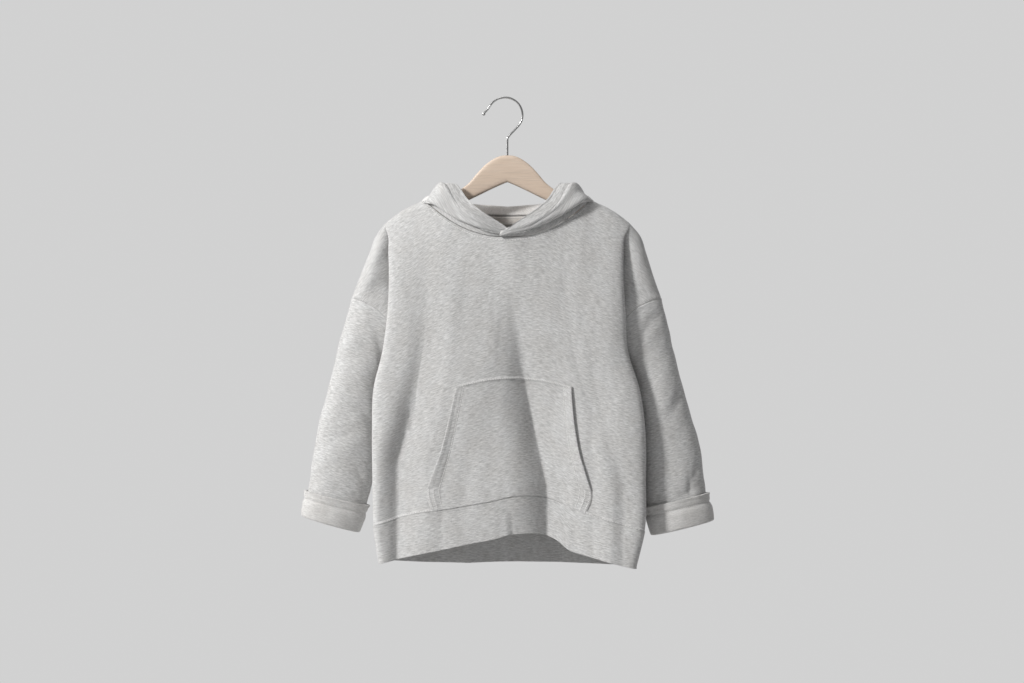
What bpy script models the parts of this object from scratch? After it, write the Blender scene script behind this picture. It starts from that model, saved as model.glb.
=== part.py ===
"""Toddler hoodie hanging on a flat wooden child's hanger.

Blender script, metres, +Z up. The garment's front faces -Y and its width runs along X. The origin is
the seat of the steel hook: the underside of its crown, where it rests on a peg. The form is worked out
in millimetres about the hanger's stem, and shell() and the curve functions turn it into metres.
"""

import bpy
import bmesh
import numpy as np

MM = 0.001
STEM_X = 2.8            # the stem stands this far to +X of the hook's seat
GAP = 0.3               # between pieces that meet at a seam
EDGE = 1.1              # a panel's edge stops this far from the middle plane where front meets back

# Walls of the cloth
FLEECE = 2.0
BAND_WALL = 3.0         # hem band, two layers
CUFF_WALL = 2.2
POCKET_WALL = 1.6
TAPE_WALL = 0.8

# Shoulders and neck
HPS_X = 95.0            # where shoulder seam and neck seam meet
SHOULDER_X, SHOULDER_Z, SHOULDER_SLOPE = 99.0, -119.0, 0.61
NECK_FRONT_Z, NECK_RISE, NECK_HALF, NECK_POWER = -159.7, 41.0, 92.0, 2.2
NECK_BACK_Z = -133.0
TIP_Z = -143.0          # shoulder line ends over the hanger's tip
UNDERARM_Z = -283.0
SECTION_POWER = 4.0     # boxy section of the body
REF_WIDTH = 138.5
FIRST_ROW = 0.0012      # the second row lies close under the shoulder seam, so that the edge stands square
ARM_FOLD = 8.0          # half depth of the cloth between body and dropped shoulder
SIDE_ROUND = 9.0        # how far from the side seam the tuck reaches

# Body outline: a row for each height. tuck is how far the side seam lies inside the fold beside it.
SIDE = dict(
    z=(-531, -487, -434, -379, -331, -288, -245, -200, -166, -143, -116),
    left=(143.5, 150, 151.5, 152, 150.5, 140.5, 135, 133.5, 135.5, 138.5, 138.5),
    right=(144.5, 154.5, 155.5, 155, 148.5, 135.5, 133, 130.5, 132.5, 138.5, 138.5),
    tuck=(3, 4, 6, 9, 10, 10, 9, 6, 4, 0, 0),
)

# Front hem band: a row for each station across, with the height of its seam and of its lower edge
FRONT_BAND = dict(
    x=(-150, -96, -50, -20, 0, 18, 38, 52, 65, 98, 128, 150),
    seam=(-485.5, -470, -463.5, -459, -451.5, -449.5, -451.5, -457.5, -463.5, -475.5, -485, -491),
    hem=(-527.5, -515.5, -507, -501.5, -493, -491, -493.5, -499.5, -507, -519, -528.5, -533.5),
)
BACK_BAND = dict(
    x=(-150, -100, 0, 100, 150),
    seam=(-485.5, -488.5, -487, -490, -491),
    hem=(-527.5, -531, -530.5, -532.5, -533.5),
)

# Long soft folds of the body: a row for each. They start at top and deepen down to foot; middle
# drifts from x_top to x_foot; width is the half width; a depth above 0 is a trough, below 0 a ridge.
FRONT_FOLDS = dict(
    x_top=(6, -112, 92, -62),
    x_foot=(26, -120, 112, -70),
    width=(25, 17, 14, 20),
    top=(-190, -215, -170, -250),
    foot=(-480, -430, -500, -480),
    depth=(15, 8, 4, -3),
)
BACK_FOLDS = dict(
    x_top=(-20, 88, -96),
    x_foot=(-34, 104, -112),
    width=(24, 18, 16),
    top=(-230, -240, -230),
    foot=(-500, -480, -470),
    depth=(12, 8, 7),
)

# Silhouette of the dropped shoulder, from hanger tip to the top of the armhole
DROP = dict(
    z=(-227, -204, -176, -156, -143),
    left=(176, 167.3, 156.1, 148.2, 138.5),
    right=(174, 165.8, 157, 149.7, 138.5),
)
ARMHOLE_SHARE = 0.55    # share of the dropped shoulder's rows that run above the armhole
DROP_BULGE = 13.0

# Sleeves: a row for each section, armhole to wrist. The outer point is given, the inner point is its
# height and its distance from the body's side. bow lifts the front and back of a slanted section.
SLEEVE_LEFT = dict(
    out_x=(176, 184.5, 193.5, 202.5, 211.6, 220.7, 226, 229.6),
    out_z=(-227, -255, -288, -325, -361, -404, -444, -473),
    in_z=(-283, -300, -322, -352, -383, -420, -459, -490),
    away=(0, 9.5, 8, 7, 6.5, 7, 11, 20),
    depth=(15, 17.5, 19.5, 20, 20, 19.5, 18.5, 17.5),
    bow=(15, 11, 6, 3, 1, 0, 0, 0),
)
SLEEVE_RIGHT = dict(
    out_x=(174, 181.5, 188.3, 198, 208.5, 219.7, 225, 229.5),
    out_z=(-227, -256, -288, -322, -360, -401, -446, -478),
    in_z=(-283, -300, -322, -352, -383, -420, -461, -493),
    away=(0, 10.5, 9, 7.5, 6.5, 6.5, 7.5, 14),
    depth=(15, 17.5, 19.5, 20, 20, 19.5, 18.5, 17.5),
    bow=(15, 11, 6, 3, 1, 0, 0, 0),
)
SLEEVE_POWER = 2.1
SLEEVE_CLEAR = 6.5      # least distance of a sleeve from the body's side
SLEEVE_START = 0.011    # share of the sleeve's length left free below the armhole seam
CUFF_START = 0.872      # of the sleeve's length: the upper edge of the turned-up cuff
CUFF_OUT = 2.7          # turned-up layer lies this far outside the sleeve
CUFF_FLARE = 1.5

# Kangaroo pocket: a row for each height, share of the way down, with its left and right edges
POCKET = dict(
    down=(0, 0.28, 0.53, 0.76, 0.82, 1.0),
    left=(-57.6, -66.4, -75.5, -87, -90, -85.5),
    right=(72.8, 76.3, 82.5, 92.5, 95.4, 89.2),
)
POCKET_CORNER_Z, POCKET_ARCH = -327.5, 11.5
BAND_CLEAR = 0.9        # the pocket's foot ends this far above the band's seam
POCKET_OFF = 2.7        # middle of the pocket's wall from the middle of the panel's
POCKET_PROUD = 3.5      # the right hand opening stands open by this much more

# Hood, let down on the back: a row for each station from throat to centre back. Beside the neck seam
# each section has a roll, the bottom of the bag and a point on the opening edge.
HOOD = dict(
    at=(0, 0.12, 0.26, 0.38, 0.5, 0.66, 0.83, 1.0),
    roll_x=(-2, 30, 60, 84, 95, 84, 44, 0),
    roll_y=(-35, -40, -40, -28, 6, 26, 32, 35),
    roll_z=(-158, -149, -136, -116, -101, -108, -120, -124),
    low_x=(-2, 31, 59, 82, 101, 98, 60, 0),
    low_y=(-35.5, -39.5, -33, -8, 38, 52, 62, 68),
    low_z=(-155, -141, -120, -97, -128, -214, -290, -322),
    edge_x=(0, 27, 45, 60, 82, 94, 64, 0),
    edge_y=(-36, -34, -26, -13, 26, 64, 94, 102),
    edge_z=(-151, -132, -117, -99, -100, -122, -154, -170),
)
NECK_CLEAR = 1.5        # hood walls start this far above the seam line, clear of the panel's square edge
HOOD_PUFF = 9.0         # outer layer of the bag bulges back by this much
THROAT_LAP = 3.2        # each hood half lies this far from the middle of the two where they cross

# Hanger
HANGER_HALF_THICK = 6.0
HANGER_ROUND = 2.0
HANGER_TOP_Z = -64.4
HANGER_UPPER = ((6, -64.6), (20, -71.2), (33, -84.5), (51, -102.0), (100, -128.5), (126, -142.5))
HANGER_TIP = ((131.5, -147.5), (133, -153), (129.5, -158))
HANGER_LOWER = ((100, -143.5), (44, -116.5), (4, -96.2))
HOOK_WIRE = 1.2
HOOK_RADIUS = 20.0
HOOK_DROP_Z = -45.5     # the hook's throat comes back to the stem here
BALL = 2.0


def track(keys, values, at):
    """Smooth curve through a table's values: cubic Hermite with the slopes of the neighbouring rows."""
    keys = np.asarray(keys, float)
    values = np.asarray(values, float)
    slopes = np.gradient(values, keys)
    at = np.clip(np.asarray(at, float), keys[0], keys[-1])
    i = np.clip(np.searchsorted(keys, at, side="right") - 1, 0, len(keys) - 2)
    span = keys[i + 1] - keys[i]
    t = (at - keys[i]) / span
    low = (2 * t**3 - 3 * t**2 + 1) * values[i] + (t**3 - 2 * t**2 + t) * span * slopes[i]
    high = (3 * t**2 - 2 * t**3) * values[i + 1] + (t**3 - t**2) * span * slopes[i + 1]
    return low + high


def blend(a, b, share):
    return a + (b - a) * share


def soft_step(value, start, stop):
    t = np.clip((value - start) / (stop - start), 0, 1)
    return t * t * (3 - 2 * t)


# ---- body ----

def half_width(x_side, z):
    left = track(SIDE["z"], SIDE["left"], z)
    right = track(SIDE["z"], SIDE["right"], z)
    return np.where(x_side < 0, left, right)


def shoulder_line(x):
    return SHOULDER_Z - SHOULDER_SLOPE * (np.abs(x) - SHOULDER_X)


def neck_line(x, back):
    """Height of the neck seam: a power curve in front, a shallow parabola behind."""
    share = np.minimum(np.abs(x) / HPS_X, 1)
    corner = shoulder_line(HPS_X)
    front_z = NECK_FRONT_Z + NECK_RISE * (np.abs(x) / NECK_HALF) ** NECK_POWER
    back_z = NECK_BACK_Z + (corner - NECK_BACK_Z) * share**2.6
    return np.where(share >= 1, corner, back_z if back else np.minimum(front_z, corner))


def body_depth(below, back):
    """Distance from the middle plane at a drop below the shoulder line: a round over the hanger, then
    a slow swell."""
    over = np.sqrt(1 - (1 - np.clip(below / ARM_FOLD, 0, 1)) ** 2) * ARM_FOLD
    swell, reach = (30.0, 80.0) if back else (34.0, 70.0)
    return over + swell * (1 - np.exp(-np.clip(below, 0, None) / reach))


def folds(x, z, table):
    """Sum of bell-shaped troughs and ridges that start soft at the top and deepen downwards."""
    total = np.zeros(np.broadcast(x, z).shape)
    for x_top, x_foot, width, top, foot, depth in zip(*table.values()):
        share = np.clip((top - z) / (top - foot), 0, 1.15)
        middle = blend(x_top, x_foot, share)
        total = total + depth * soft_step(share, 0, 1) * np.exp(-(((x - middle) / width) ** 2))
    return total


def body_point(across, z, back):
    """Point of the body cloth. across runs -1..1 from side seam to side seam along a superellipse."""
    share = np.abs(across)
    side = np.sign(across)
    width = half_width(across, z)
    x = side * width * share
    depth = body_depth(shoulder_line(x) - z, back)
    fold_share = np.clip((TIP_Z - z) / (TIP_Z - UNDERARM_Z), 0, 1)
    at_side = ARM_FOLD * np.sqrt(np.sin(np.pi * fold_share))
    at_side = np.minimum(at_side, depth)
    rise = (1 - share**SECTION_POWER) ** (1 / SECTION_POWER)
    y = at_side + (depth - at_side) * rise
    table = BACK_FOLDS if back else FRONT_FOLDS
    y = y - folds(x, z, table) * soft_step(rise, 0.35, 0.8)
    tuck = track(SIDE["z"], SIDE["tuck"], z)
    x = x - side * tuck * np.exp(-(((y - at_side) / SIDE_ROUND) ** 2)) * soft_step(share, 0.75, 1)
    return np.stack([x, y if back else -y, z * np.ones_like(x)], axis=-1)


def front_y(x, z):
    width = half_width(x, z)
    return body_point(np.clip(x / width, -1, 1), z, False)[..., 1]


def across_stations(neck_steps, side_steps):
    """Stations from side seam to side seam: even across the neck, then even in angle round the side."""
    neck = HPS_X / REF_WIDTH
    start = np.arcsin(neck ** (SECTION_POWER / 2))
    angle = np.linspace(start, np.pi / 2, side_steps + 1)
    angle[-2] = blend(angle[-2], np.pi / 2, 0.6)
    outer = np.sin(angle) ** (2 / SECTION_POWER)
    half = np.concatenate([np.linspace(0, neck, neck_steps + 1), outer[1:]])
    return np.concatenate([-half[:0:-1], half])


def body_grid(back, neck_steps, side_steps, upper_rows, lower_rows):
    """Body panel from neck and shoulder line down to the band's seam. Its first rows are those of the
    dropped shoulders, which share its side columns."""
    across = across_stations(neck_steps, side_steps)
    x = across * REF_WIDTH
    top = np.where(np.abs(x) < HPS_X - 0.01, neck_line(x, back), shoulder_line(x))
    band = BACK_BAND if back else FRONT_BAND
    foot = track(band["x"], band["seam"], across * band["x"][-1]) + GAP / 2
    foot_side = foot[[0, -1]].mean()
    reach = (TIP_Z - UNDERARM_Z) / (TIP_Z - foot_side)
    upper = reach * np.linspace(0, 1, upper_rows + 1) ** 1.8
    upper[1] = reach * FIRST_ROW
    lower = np.linspace(reach, 1, lower_rows + 1)[1:]
    down = np.concatenate([upper, lower])[:, None]
    z = top + (foot - top) * down
    return body_point(across[None, :] * np.ones_like(z), z, back)


def drop_grid(side, panel, upper_rows, steps, back):
    """Dropped shoulder: rows run out from the body's side column to the silhouette above the armhole,
    and to the armhole below it."""
    inner = panel[: upper_rows + 1, -1 if side > 0 else 0]
    share = np.linspace(0, 1, upper_rows + 1)
    key = "right" if side > 0 else "left"
    above = share / ARMHOLE_SHARE
    drop_z = TIP_Z + (DROP["z"][0] - TIP_Z) * np.clip(above, 0, 1)
    drop = np.stack([side * track(DROP["z"], DROP[key], drop_z), 0 * drop_z, drop_z], axis=-1)
    angle = np.pi * np.clip((share - ARMHOLE_SHARE) / (1 - ARMHOLE_SHARE), 0, 1)
    hole = sleeve_point(side, np.zeros_like(angle), -angle if back else angle)
    outer = np.where((share <= ARMHOLE_SHARE)[:, None], drop, hole)
    out = np.sin(np.linspace(0, np.pi / 2, steps + 1))
    grid = blend(inner[:, None], outer[:, None], out[None, :, None])
    flip = 1 if back else -1
    start, stop = flip * inner[:, 1:2], flip * outer[:, 1:2]
    full = DROP_BULGE * np.sin(np.pi * np.clip(share, 0, 1))[:, None] ** 0.7
    rounded = (start + (np.maximum(full, start) - start) * np.sin(out * np.pi / 2)) * (1 - out**3) ** (1 / 3)
    straight = start * (1 - out) + stop * out + 0.3 * full * np.sin(np.pi * out)
    mixed = blend(rounded, straight, soft_step(share, ARMHOLE_SHARE - 0.12, ARMHOLE_SHARE + 0.05)[:, None])
    grid[..., 1] = flip * mixed
    return grid


# ---- sleeves ----

def sleeve_point(side, along, angle, out=0.0, clear=0.0):
    """Point of a sleeve. along runs 0..1 from armhole to wrist, angle from the outer point over the
    front (0..pi) to the inner one. Each section is a superellipse between outer and inner point, bowed
    upwards where it slants; out moves it outwards and clear keeps its inner point off the body."""
    table = SLEEVE_RIGHT if side > 0 else SLEEVE_LEFT
    keys = np.linspace(0, 1, len(table["depth"]))
    out_x, out_z, in_z, away, depth, bow = (track(keys, column, along) for column in table.values())
    at_side = half_width(np.full_like(in_z, side), in_z) - track(SIDE["z"], SIDE["tuck"], in_z)
    in_x = at_side + np.maximum(away, clear)
    centre_x, centre_z = (out_x + in_x) / 2, (out_z + in_z) / 2
    half_x, half_z = (out_x - in_x) / 2, (out_z - in_z) / 2
    half = np.hypot(half_x, half_z)
    cosine = np.sign(np.cos(angle)) * np.abs(np.cos(angle)) ** (2 / SLEEVE_POWER)
    sine = np.sign(np.sin(angle)) * np.abs(np.sin(angle)) ** (2 / SLEEVE_POWER)
    stretch = cosine * (half + out) / half
    lift = bow * np.sin(angle) ** 2 * np.clip(1 + 0.9 * np.cos(angle), 0, 1)
    x = centre_x + half_x * stretch - lift * half_z / half
    z = centre_z + half_z * stretch + lift * half_x / half
    y = -(depth + out) * sine
    return np.stack([side * x, y, z], axis=-1)


def sleeve_grid(side, rows, steps, start, stop, out, flare=0.0):
    along = np.linspace(start, stop, rows + 1)[:, None]
    angle = np.linspace(0, 2 * np.pi, steps, endpoint=False)[None, :]
    more = out + flare * (stop - along) / (stop - start)
    ones = np.ones((rows + 1, steps))
    return sleeve_point(side, along * ones, angle * ones, more * ones, SLEEVE_CLEAR)


# ---- hood ----

def neck_point(side, at):
    """Neck seam of one half: throat at 0, shoulder at 0.5, centre back at 1."""
    at = np.asarray(at, float)
    turn = np.abs(np.cos(np.pi * at))
    x = HPS_X * (1 - turn**1.6) ** (1 / 1.6)
    front, back = at <= 0.5, at > 0.5
    z = np.where(front, neck_line(x, False), neck_line(x, True))
    below = shoulder_line(x) - z
    y = np.where(back, body_depth(below, True), -body_depth(below, False))
    return np.stack([side * x, y, z], axis=-1)


def through(points, share):
    """Smooth curve through the points of each section, evened by their distances apart."""
    count = len(points)
    lengths = np.linalg.norm(np.diff(points, axis=0), axis=-1).mean(axis=1)
    keys = np.concatenate([[0], np.cumsum(np.sqrt(lengths))])
    keys = keys / keys[-1]
    flat = points.reshape(count, -1)
    columns = [track(keys, flat[:, i], share) for i in range(flat.shape[1])]
    return np.stack(columns, axis=-1).reshape((len(share),) + points.shape[1:])


def hood_grid(side, stations, steps):
    """Hood half: each section leaves the neck seam, rolls over, falls to the bottom of the bag and
    comes up again to the opening edge."""
    at = np.linspace(0, 1, stations + 1)
    named = {key: track(HOOD["at"], HOOD[key], at) for key in HOOD if key != "at"}
    roll, low, edge = (
        np.stack([side * named[name + "_x"], named[name + "_y"], named[name + "_z"]], axis=-1)
        for name in ("roll", "low", "edge")
    )
    neck = neck_point(side, at)
    neck[:, 2] += NECK_CLEAR
    behind = soft_step(at, 0.45, 0.7)[:, None]
    puff = np.array([0.0, HOOD_PUFF, 0.0]) * behind
    inner = blend(roll, low, 0.55) - puff
    outer = blend(low, edge, 0.45) + puff
    rows = through(np.stack([neck, roll, inner, low, outer, edge]), np.linspace(0, 1, steps + 1))
    lap = THROAT_LAP * (1 - soft_step(at, 0.0, 0.16))
    rows[..., 1] += -side * lap
    rows[..., 0] += -side * 8.0 * (1 - soft_step(at, 0.0, 0.12)) * np.linspace(1, 0.2, steps + 1)[:, None]
    rows[:, -1, 0] = side * 1.5 * GAP
    return rows


# ---- building ----

def add_material(obj, colour, roughness, metallic):
    material = bpy.data.materials.new(obj.name + "_finish")
    material.use_nodes = True
    shader = material.node_tree.nodes["Principled BSDF"]
    shader.inputs["Base Color"].default_value = (*colour, 1.0)
    shader.inputs["Roughness"].default_value = roughness
    shader.inputs["Metallic"].default_value = metallic
    obj.data.materials.append(material)


def shell(name, grids, wall, parts, closed=False):
    """Open surface from one or more grids of points that share their edges, thickened by Solidify."""
    mesh = bmesh.new()
    for grid in grids:
        rows, columns = grid.shape[:2]
        corners = [
            [mesh.verts.new((point + (STEM_X, 0, 0)) * MM) for point in row] for row in grid
        ]
        for i in range(rows - 1):
            for j in range(columns if closed else columns - 1):
                k = (j + 1) % columns
                mesh.faces.new((corners[i][j], corners[i][k], corners[i + 1][k], corners[i + 1][j]))
    bmesh.ops.remove_doubles(mesh, verts=mesh.verts, dist=1e-6)
    bmesh.ops.dissolve_degenerate(mesh, edges=mesh.edges, dist=1e-6)
    bmesh.ops.recalc_face_normals(mesh, faces=mesh.faces)
    data = bpy.data.meshes.new(name)
    mesh.to_mesh(data)
    mesh.free()
    data.shade_smooth()
    obj = bpy.data.objects.new(name, data)
    parts.objects.link(obj)
    thick = obj.modifiers.new("wall", "SOLIDIFY")
    thick.thickness = wall * MM
    thick.offset = 0
    return obj


def make_body(parts):
    for name, back in (("front", False), ("back", True)):
        panel = body_grid(back, 6 if back else 10, 6, 10, 6)
        wings = [drop_grid(side, panel, 10, 4, back) for side in (-1, 1)]
        sign = 1 if back else -1
        grids = [panel] + wings
        for grid in grids:
            grid[..., 1] = sign * np.maximum(sign * grid[..., 1], EDGE)
        shell(name, grids, FLEECE, parts)


def make_band(parts):
    for name, back, table in (("hem_band_front", False, FRONT_BAND), ("hem_band_back", True, BACK_BAND)):
        across = across_stations(6 if back else 10, 6)
        x = across * table["x"][-1]
        seam = track(table["x"], table["seam"], x) - GAP / 2
        hem = track(table["x"], table["hem"], x)
        z = blend(seam, hem, np.linspace(0, 1, 4)[:, None])
        grid = body_point(across * np.ones_like(z), z, back)
        sign = 1 if back else -1
        grid[..., 1] = sign * np.maximum(sign * grid[..., 1], EDGE)
        shell(name, [grid], BAND_WALL, parts)


def make_sleeves(parts):
    for name, side in (("left", -1), ("right", 1)):
        tube = sleeve_grid(side, 10, 16, SLEEVE_START, 1, 0)
        shell("sleeve_" + name, [tube], FLEECE, parts, closed=True)
        cuff = sleeve_grid(side, 2, 16, CUFF_START, 1, CUFF_OUT, CUFF_FLARE)
        shell("cuff_" + name, [cuff], CUFF_WALL, parts, closed=True)


def make_hood(parts):
    for name, side in (("hood_left", -1), ("hood_right", 1)):
        shell(name, [hood_grid(side, 14, 16)], FLEECE, parts)


def make_pocket(parts):
    down = np.linspace(0, 1, 9)[:, None]
    over = np.linspace(0, 1, 15)[None, :]
    left = track(POCKET["down"], POCKET["left"], down)
    right = track(POCKET["down"], POCKET["right"], down)
    x = blend(left, right, over)
    top = POCKET_CORNER_Z + POCKET_ARCH * np.sin(np.pi * over) ** 0.8
    foot = track(FRONT_BAND["x"], FRONT_BAND["seam"], x) + BAND_CLEAR
    z = blend(top, foot, down)
    proud = POCKET_PROUD * np.exp(-(((1 - over) / 0.07) ** 2)) * np.sin(np.pi * np.clip(down / 0.85, 0, 1))
    slope = (front_y(x + 1, z) - front_y(x - 1, z)) / 2
    y = front_y(x, z) - POCKET_OFF * np.hypot(1, slope) - proud
    shell("pocket", [np.stack([x, y, z], axis=-1)], POCKET_WALL, parts)


def make_tape(parts):
    x = np.linspace(-70, 70, 17)[None, :]
    z = neck_line(x, True) - 2.0 - np.linspace(0, 9, 3)[:, None]
    x = x * np.ones_like(z)
    y = body_depth(shoulder_line(x) - z, True) - (FLEECE / 2 + TAPE_WALL / 2 + GAP + 0.3)
    shell("neck_tape", [np.stack([x, y, z], axis=-1)], TAPE_WALL, parts)


def make_hanger(parts):
    upper = list(HANGER_UPPER) + list(HANGER_TIP) + list(HANGER_LOWER)
    outline = upper + [(-x, z) for x, z in reversed(upper)]
    curve = bpy.data.curves.new("hanger_body", "CURVE")
    curve.dimensions = "2D"
    curve.fill_mode = "BOTH"
    curve.extrude = (HANGER_HALF_THICK - HANGER_ROUND) * MM
    curve.bevel_depth = HANGER_ROUND * MM
    curve.bevel_resolution = 2
    curve.offset = -HANGER_ROUND * MM
    spline = curve.splines.new("POLY")
    spline.points.add(len(outline) - 1)
    for point, (x, z) in zip(spline.points, outline):
        point.co = ((x + STEM_X) * MM, z * MM, 0, 1)
    spline.use_cyclic_u = True
    flat = bpy.data.objects.new("hanger_flat", curve)
    flat.rotation_euler = (np.pi / 2, 0, 0)
    bpy.context.scene.collection.objects.link(flat)
    bpy.context.view_layer.update()
    graph = bpy.context.evaluated_depsgraph_get()
    data = bpy.data.meshes.new_from_object(flat.evaluated_get(graph))
    data.transform(flat.matrix_world)
    mesh = bmesh.new()
    mesh.from_mesh(data)
    bmesh.ops.remove_doubles(mesh, verts=mesh.verts, dist=1e-6)
    mesh.to_mesh(data)
    mesh.free()
    bpy.data.objects.remove(flat)
    obj = bpy.data.objects.new("hanger_body", data)
    parts.objects.link(obj)
    return obj


def hook_route():
    """Stem, throat back over the crown, and round to the tip: an arc of HOOK_RADIUS with its crown on
    the seat, joined to the stem by a smooth swing."""
    centre = np.array([-STEM_X, HOOK_WIRE - HOOK_RADIUS])
    turn = np.radians(np.linspace(172, -8, 17))
    arc = centre + HOOK_RADIUS * np.stack([np.cos(turn), np.sin(turn)], axis=-1)
    share = np.linspace(0, 1, 7)[1:]
    swing = np.stack([arc[-1, 0] + (0 - arc[-1, 0]) * soft_step(share, 0.0, 1.0) ** 1.1,
                      blend(arc[-1, 1], HOOK_DROP_Z, share)], axis=-1)
    stem = np.array([(0.0, HANGER_TOP_Z + GAP)])
    return np.concatenate([arc, swing, stem])


def make_hook(parts):
    route = hook_route()
    tip = route[0] + (route[0] - route[1]) / np.linalg.norm(route[0] - route[1]) * np.array(
        [[3.4], [3.0], [1.8], [0.6]])
    radii = np.array([0.35, 0.85, 1.0, 0.8]) * BALL / HOOK_WIRE
    points = np.concatenate([tip, route])
    curve = bpy.data.curves.new("hanger_hook", "CURVE")
    curve.dimensions = "3D"
    curve.bevel_depth = HOOK_WIRE * MM
    curve.bevel_resolution = 2
    curve.use_fill_caps = True
    spline = curve.splines.new("POLY")
    spline.points.add(len(points) - 1)
    for i, (point, (x, z)) in enumerate(zip(spline.points, points)):
        point.co = ((x + STEM_X) * MM, 0, z * MM, 1)
        point.radius = radii[i] if i < len(radii) else 1.0
    obj = bpy.data.objects.new("hanger_hook", curve)
    parts.objects.link(obj)
    return obj


FINISHES = {
    "fleece": ((0.57, 0.56, 0.55), 0.95, 0.0),
    "reverse": ((0.55, 0.52, 0.48), 0.95, 0.0),
    "wood": ((0.62, 0.48, 0.35), 0.45, 0.0),
    "steel": ((0.62, 0.62, 0.62), 0.25, 1.0),
}


def finish_of(name):
    if name == "hanger_body":
        return FINISHES["wood"]
    if name == "hanger_hook":
        return FINISHES["steel"]
    return FINISHES["reverse" if name.startswith(("cuff", "neck_tape")) else "fleece"]


def main():
    for obj in list(bpy.data.objects):
        bpy.data.objects.remove(obj)
    parts = bpy.data.collections.new("toddler_hoodie")
    bpy.context.scene.collection.children.link(parts)
    make_body(parts)
    make_band(parts)
    make_sleeves(parts)
    make_hood(parts)
    make_pocket(parts)
    make_tape(parts)
    make_hanger(parts)
    make_hook(parts)
    for obj in parts.objects:
        add_material(obj, *finish_of(obj.name))


main()
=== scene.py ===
"""Toddler hoodie on a flat wooden hanger: cloth shells, stitching, hanger and hook with their finishes.

Every form is a numpy surface worked out in millimetres about the hanger's stem; make_mesh() turns it
into metres in the row's frame. The garment's front faces -Y.
"""
import math

import bmesh
import bpy
import numpy as np
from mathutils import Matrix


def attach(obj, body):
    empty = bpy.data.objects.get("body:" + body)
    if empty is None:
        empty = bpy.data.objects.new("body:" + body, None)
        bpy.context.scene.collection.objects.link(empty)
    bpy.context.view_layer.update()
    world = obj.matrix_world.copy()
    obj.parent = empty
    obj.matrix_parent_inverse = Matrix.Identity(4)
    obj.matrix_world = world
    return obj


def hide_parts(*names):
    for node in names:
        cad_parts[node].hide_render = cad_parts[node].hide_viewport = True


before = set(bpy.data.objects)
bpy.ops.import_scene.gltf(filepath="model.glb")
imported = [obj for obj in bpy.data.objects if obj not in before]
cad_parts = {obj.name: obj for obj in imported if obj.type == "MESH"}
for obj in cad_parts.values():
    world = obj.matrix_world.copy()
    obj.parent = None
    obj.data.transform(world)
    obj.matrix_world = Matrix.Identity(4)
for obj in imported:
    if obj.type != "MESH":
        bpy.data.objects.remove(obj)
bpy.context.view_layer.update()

MM = 0.001
STEM_X = 2.8            # the hanger's stem stands this far to +X of the hook's seat

# Walls of the cloth
FLEECE = 2.0
HOOD_WALL = 2.4
BAND_WALL = 3.2
CUFF_WALL = 2.3
POCKET_WALL = 1.6
TAPE_WALL = 0.7
TAPE_WIDE = 9.0
SEAM = 0.25             # a panel's edge stops this far from the seam line
SEAM_LIP = 6.0          # rows lie closer over this height above the band's seam, for its raised lip

# Shoulders and neck
HPS_X = 95.0            # where shoulder seam and neck seam meet
SHOULDER_X, SHOULDER_Z, SHOULDER_SLOPE = 99.0, -119.0, 0.61
SHOULDER_CROWN = 2.6    # the shoulder seam rises in a slight arch
NECK_FRONT_Z, NECK_RISE, NECK_HALF, NECK_POWER = -159.7, 41.0, 92.0, 2.2
NECK_BACK_Z = -133.0
TIP_Z = -143.0          # shoulder line ends over the hanger's tip
UNDERARM_Z = -283.0
SECTION_POWER = 13.0    # boxy section of the body
REF_WIDTH = 138.5
OVER_HANGER = 8.0       # half depth of the cloth where it lies over the hanger
ARM_FOLD = 2.4          # half depth of the cloth between body and dropped shoulder
SIDE_ROUND = 9.0        # how far from the side seam the tuck reaches

# Body outline: a row for each height. tuck is how far the side seam lies inside the fold beside it.
SIDE = dict(
    z=(-531, -487, -434, -379, -331, -288, -245, -200, -166, -143, -116),
    left=(143.5, 150, 151.5, 152, 150.5, 140.5, 135, 133.5, 135.5, 138.5, 138.5),
    right=(144.5, 154.5, 155.5, 155, 148.5, 135.5, 133, 130.5, 132.5, 138.5, 138.5),
    tuck=(3, 4, 6, 9, 10, 10, 9, 6, 4, 0, 0),
)

# Hem band: a row for each station across, with the height of its seam and of its lower edge
FRONT_BAND = dict(
    x=(-150, -96, -76, -43, -16, 1, 12, 34, 46, 56, 69, 86, 105, 128, 150),
    seam=(-485.5, -470, -467.5, -462, -457, -453, -451.5, -452, -454.5, -458, -464, -471, -477.7,
          -484.3, -491),
    hem=(-527.5, -515.5, -511.5, -504.5, -499.5, -494.8, -493.5, -494, -497, -502, -512, -517.5,
         -522.5, -528.5, -533.5),
)
BACK_BAND = dict(
    x=(-150, -100, 0, 100, 150),
    seam=(-485.5, -488.5, -487, -490, -491),
    hem=(-527.5, -531, -530.5, -532.5, -533.5),
)

# Long soft folds of the body: a row for each. They start soft at top and deepen down to foot; the line
# of the fold runs through x_top, x_mid and x_foot; left and right are its reach to either side; bend is
# how much its left wall steepens towards the line; a depth above 0 is a trough, below 0 a ridge.
FOLD_RISE, FOLD_CAP, FOLD_SHARP = 1.3, 1.3, 9.0    # right wall's power, highest share, sharpness of the line
FRONT_FOLDS = dict(
    x_top=(-2, -92, 84, -58, 3, 66, 44),
    x_mid=(13, -98, 95, -62, 4, 70, 52),
    x_foot=(33, -115, 117, -70, 6, 86, 70),
    left=(54, 25, 20, 12, 8, 10, 16),
    right=(78, 34, 30, 16, 28, 16, 26),
    bend=(2.9, 2.0, 1.8, 1.5, 1.5, 1.5, 1.5),
    top=(-180, -205, -215, -330, -455, -190, -340),
    foot=(-395, -375, -400, -420, -500, -330, -480),
    depth=(24, 13, 3.6, 1.2, 3.4, 1.2, 1.6),
)
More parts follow.
